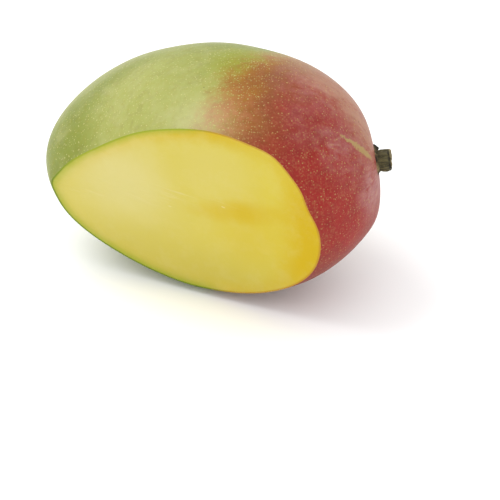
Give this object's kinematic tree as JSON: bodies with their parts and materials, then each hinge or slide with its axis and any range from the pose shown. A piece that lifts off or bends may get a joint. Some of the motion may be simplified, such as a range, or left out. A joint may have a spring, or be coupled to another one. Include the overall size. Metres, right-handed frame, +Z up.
{
  "type": "cut mango",
  "caption": "Ripe red and green mango lying on its side, cut flat along its front to show the yellow flesh, with the woody stub of its stem.",
  "frame": {"origin": "middle of the flat spot that the fruit rests on", "axes": "+X towards the stem end, across the camera's view; +Z up from the table; the cut face looks towards -Y and a little to -X"},
  "size_m": [0.1241, 0.0957, 0.0873],
  "materials": {
    "fruit": "semi-gloss waxy skin, moist cut flesh",
    "stem": "dull, dry"
  },
  "bodies": {
    "root": {"mango_fruit": "fruit", "mango_stem": "stem"}
  },
  "joints": []
}
